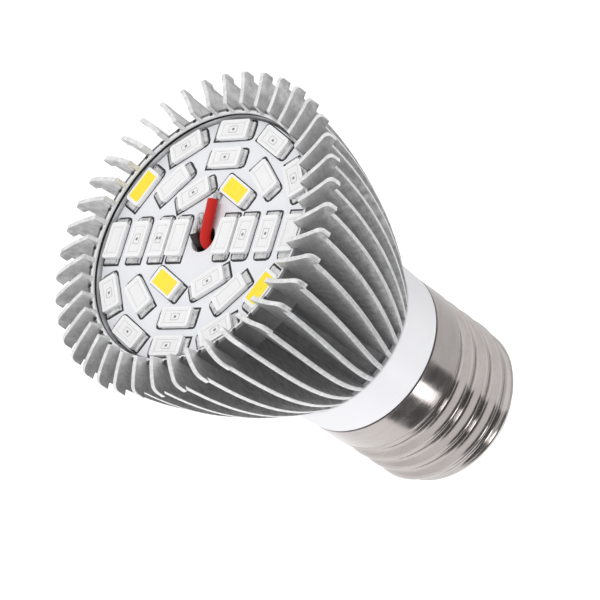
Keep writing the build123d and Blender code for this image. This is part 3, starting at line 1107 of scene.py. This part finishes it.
def make_collar():
    """The collar with its spigot and skirt, the ledge inside and the ribs that hold the driver board."""
    top = high("collar")
    bottom = low("collar")
    ledge_top = bottom + LEDGE_THICKNESS
    bore = skirt_radius - SKIRT_WALL
    spigot = CAVITY_RADIUS - SPIGOT_CLEARANCE
    shape = outline(
        [
            (bore, top),
            (spigot, top),
            (spigot, neck_level),
            (reach("collar"), neck_level),
            (band_radius, collar_bottom),
            (skirt_radius, collar_bottom),
            (skirt_radius, bottom),
            (bore - LEDGE_WIDTH, bottom),
            (bore - LEDGE_WIDTH, ledge_top),
            (bore, ledge_top),
        ],
        (((3,), COLLAR_TOP_ROUNDING, 4), ((4,), COLLAR_FOOT_ROUNDING, 5)),
    )
    turn(shape, COLLAR_STEPS)
    rib_place = bore - RIB_DEPTH / 2 + RIB_SINK
    for side in (-1, 1):
        for face in (-1, 1):
            rib = block(RIB_DEPTH, RIB_WIDTH, RIB_HEIGHT)
            place = (side * rib_place, face * RIB_SPACING / 2, ledge_top)
            bmesh.ops.translate(rib, vec=place, verts=rib.verts)
            join(shape, rib)
    finish_piece("housing_collar", shape, (COLLAR_WHITE,), ("collar",))


def ease(value):
    """A smooth step from 0 to 1."""
    share = min(max(value, 0.0), 1.0)
    return share * share * (3 - 2 * share)


def roll_thread(shape, thread_low, thread_high):
    """Moves the shell's wall in and out along a right-handed helix, and lets it fade at both ends."""
    depth = (THREAD_CREST - THREAD_ROOT) / 2
    for vert in shape.verts:
        radius = vert.co.xy.length
        height = vert.co.z
        turns = (height - THREAD_RISE) / THREAD_PITCH - math.atan2(vert.co.y, vert.co.x) / FULL_TURN
        fade = ease((height - thread_low) / THREAD_FADE_IN) * ease((thread_high - height) / THREAD_FADE_OUT)
        grown = radius + fade * depth * math.cos(turns * FULL_TURN)
        vert.co.x *= grown / radius
        vert.co.y *= grown / radius


def make_shell():
    """The drawn sheet: a smooth band, the rolled thread, and the curl at the contact end."""
    wall_radius = (THREAD_CREST + THREAD_ROOT) / 2
    band_bottom = shell_top - BAND_HEIGHT
    thread_top = band_bottom - THREAD_STEP
    outer = [
        (band_radius, shell_top),
        (band_radius, band_bottom),
        (wall_radius, thread_top),
        (wall_radius, shell_bottom + CURL_HEIGHT),
        (CURL_RADIUS, shell_bottom),
    ]
    inner = [(radius - SHELL_WALL, height) for radius, height in reversed(outer)]
    rounds = (((1, 8), SHELL_ROUNDING, 3), ((2, 7), SHELL_ROUNDING, 3), ((3, 6), CURL_ROUNDING, 6))
    shape = outline(outer + inner, rounds)
    open_section(shape)
    long_edges = [edge for edge in shape.edges if rise(edge) > SHELL_LONG_EDGE]
    bmesh.ops.subdivide_edges(shape, edges=long_edges, cuts=SHELL_CUTS)
    turn(shape, SHELL_STEPS)
    roll_thread(shape, shell_bottom + THREAD_START, thread_top + THREAD_END)
    finish_piece("shell_rolled", shape, (NICKEL,), ("screw_shell",), crease=50)


def make_cap_end():
    """The black insulator and the centre contact, which the photo doesn't show."""
    edge = reach("shell_insulator")
    ring = outline(
        [
            (LEAD_HOLE, contact_top),
            (INSULATOR_BOTTOM, contact_top),
            (edge, insulator_top - SHELL_WALL),
            (edge, insulator_top),
            (LEAD_HOLE, insulator_top),
        ],
        (((1,), INSULATOR_ROUNDING, 5), ((2,), INSULATOR_RIM_ROUNDING, 3)),
    )
    turn(ring, INSULATOR_STEPS)
    finish_piece("insulator_ring", ring, (GLASS_BLACK,), ("shell_insulator",))
    rim = reach("centre_contact")
    disc = outline(
        [(0, 0), (CONTACT_FLAT, 0), (rim, CONTACT_BEVEL), (rim, contact_top), (0, contact_top)],
        (((1,), CONTACT_ROUNDING, 3), ((2,), CONTACT_RIM_ROUNDING, 3)),
    )
    turn(disc, CONTACT_STEPS)
    finish_piece("contact_disc", disc, (CONTACT,), ("centre_contact",))


# Stage, light and camera

def seen_directly(tree):
    """One for what the camera sees straight on, in gloss or through glass, and zero for other light."""
    path = tree.nodes.new("ShaderNodeLightPath")
    seen = math_node(tree, "ADD", path.outputs["Is Camera Ray"], path.outputs["Is Glossy Ray"])
    seen = math_node(tree, "ADD", seen, path.outputs["Is Transmission Ray"])
    return math_node(tree, "MINIMUM", seen, 1.0)


def make_floor():
    """White paper that takes the bulb's shadow. Only the camera and gloss see its little glow."""
    bpy.ops.mesh.primitive_plane_add(size=FLOOR_SIZE, location=(0, 0, FLOOR_LEVEL))
    floor = bpy.context.active_object
    floor.name = "floor"
    paper = bpy.data.materials.new("white_paper")
    paper.use_nodes = True
    tree = paper.node_tree
    shader = tree.nodes["Principled BSDF"]
    shader.inputs["Base Color"].default_value = (0.85, 0.85, 0.85, 1)
    shader.inputs["Roughness"].default_value = 0.9
    glow = tree.nodes.new("ShaderNodeEmission")
    tree.links.new(math_node(tree, "MULTIPLY", seen_directly(tree), FLOOR_GLOW), glow.inputs["Strength"])
    total = tree.nodes.new("ShaderNodeAddShader")
    tree.links.new(shader.outputs[0], total.inputs[0])
    tree.links.new(glow.outputs[0], total.inputs[1])
    tree.links.new(total.outputs[0], tree.nodes["Material Output"].inputs["Surface"])
    floor.data.materials.append(paper)


def make_sky():
    """An even white room: dimmer as a light than as what the camera and the metal see."""
    world = bpy.data.worlds.new("studio")
    world.use_nodes = True
    tree = world.node_tree
    extra = math_node(tree, "MULTIPLY", seen_directly(tree), 1 - ROOM_LIGHT)
    background = tree.nodes["Background"]
    background.inputs["Color"].default_value = (1, 1, 1, 1)
    tree.links.new(math_node(tree, "ADD", extra, ROOM_LIGHT), background.inputs["Strength"])
    bpy.context.scene.world = world


def make_lamp(name, place, size, power, shines=True):
    """A square soft light that faces the bulb."""
    data = bpy.data.lights.new(name, "AREA")
    data.shape = "SQUARE"
    data.size = size
    data.energy = power
    lamp = bpy.data.objects.new(name, data)
    lamp.visible_glossy = shines
    lamp.location = place
    lamp.rotation_euler = (LIGHT_AIM - Vector(place)).to_track_quat("-Z", "Y").to_euler()
    bpy.context.scene.collection.objects.link(lamp)


def make_card(name, place, width, length, aim=LIGHT_AIM, shade=0.1):
    """A matt grey card that faces a point, and that only gloss reflects."""
    bpy.ops.mesh.primitive_plane_add(size=1.0, location=place)
    card = bpy.context.active_object
    card.name = name
    card.scale = (width, length, 1)
    card.rotation_euler = (aim - Vector(place)).to_track_quat("Z", "Y").to_euler()
    felt = bpy.data.materials.new(f"{name}_felt")
    felt.use_nodes = True
    shader = felt.node_tree.nodes["Principled BSDF"]
    shader.inputs["Base Color"].default_value = (shade, shade, shade, 1)
    shader.inputs["Roughness"].default_value = 1.0
    card.data.materials.append(felt)
    card.visible_camera = False
    card.visible_diffuse = False
    card.visible_transmission = False
    card.visible_shadow = False


def make_camera():
    """A long lens, turned about its own axis as the photo is."""
    azimuth = math.radians(CAMERA_AZIMUTH)
    elevation = math.radians(CAMERA_ELEVATION)
    roll = math.radians(CAMERA_ROLL)
    back = Vector((
        math.sin(azimuth) * math.cos(elevation),
        -math.cos(azimuth) * math.cos(elevation),
        math.sin(elevation),
    ))
    level_right = Vector((0, 0, 1)).cross(back).normalized()
    level_up = back.cross(level_right)
    up = math.cos(roll) * level_up + math.sin(roll) * level_right
    right = up.cross(back)
    data = bpy.data.cameras.new("camera")
    data.lens = CAMERA_LENS
    data.sensor_width = SENSOR_WIDTH
    data.clip_start = 0.01
    data.clip_end = 20.0
    camera = bpy.data.objects.new("camera", data)
    camera.location = CAMERA_AIM + back * CAMERA_DISTANCE
    camera.rotation_euler = Matrix((right, up, back)).transposed().to_euler()
    bpy.context.scene.collection.objects.link(camera)
    bpy.context.scene.camera = camera


# The bulb

make_sink_core()
make_sink_fins()
make_rim_notch_shadows()
make_board()
make_board_print()
make_led_housings()
make_windows()
make_dies()
make_die_pads()
make_terminals()
make_wires()
make_solder()
make_collar()
make_shell()
make_cap_end()

for node_name, node_finish in DRIVER_FINISHES.items():
    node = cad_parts[node_name]
    node.data.materials.clear()
    node.data.materials.append(node_finish)

# Its surroundings: the spark lamp and the cards are placed for what the nickel shell reflects

make_floor()
make_sky()
make_lamp("key", (-0.12, 0.25, 1.1), size=0.6, power=3.2, shines=False)
make_lamp("fill_left", (-0.65, -0.95, 0.2), size=0.6, power=1.2, shines=False)
make_lamp("fill_front", (0.72, -0.8, 0.3), size=0.5, power=2.6, shines=False)
make_lamp("spark", (0.108, -0.055, -0.079), size=0.034, power=0.019)
make_card("card_low", (0.12, -0.064, -0.1), width=0.2, length=0.18, aim=Vector((0.12, -0.064, 1)))
make_card("card_back", (-0.02, 0.15, -0.1), width=0.36, length=0.24, aim=Vector((-0.02, 0.15, 1)), shade=0.72)
make_card("card_side", (0.24, -0.128, -0.01), width=0.36, length=0.17, aim=Vector((0, 0, -0.01)))
make_card("card_camera", (0.5, -0.25, 0.56), width=0.3, length=0.25)
make_camera()

bpy.context.scene.view_settings.view_transform = "Standard"
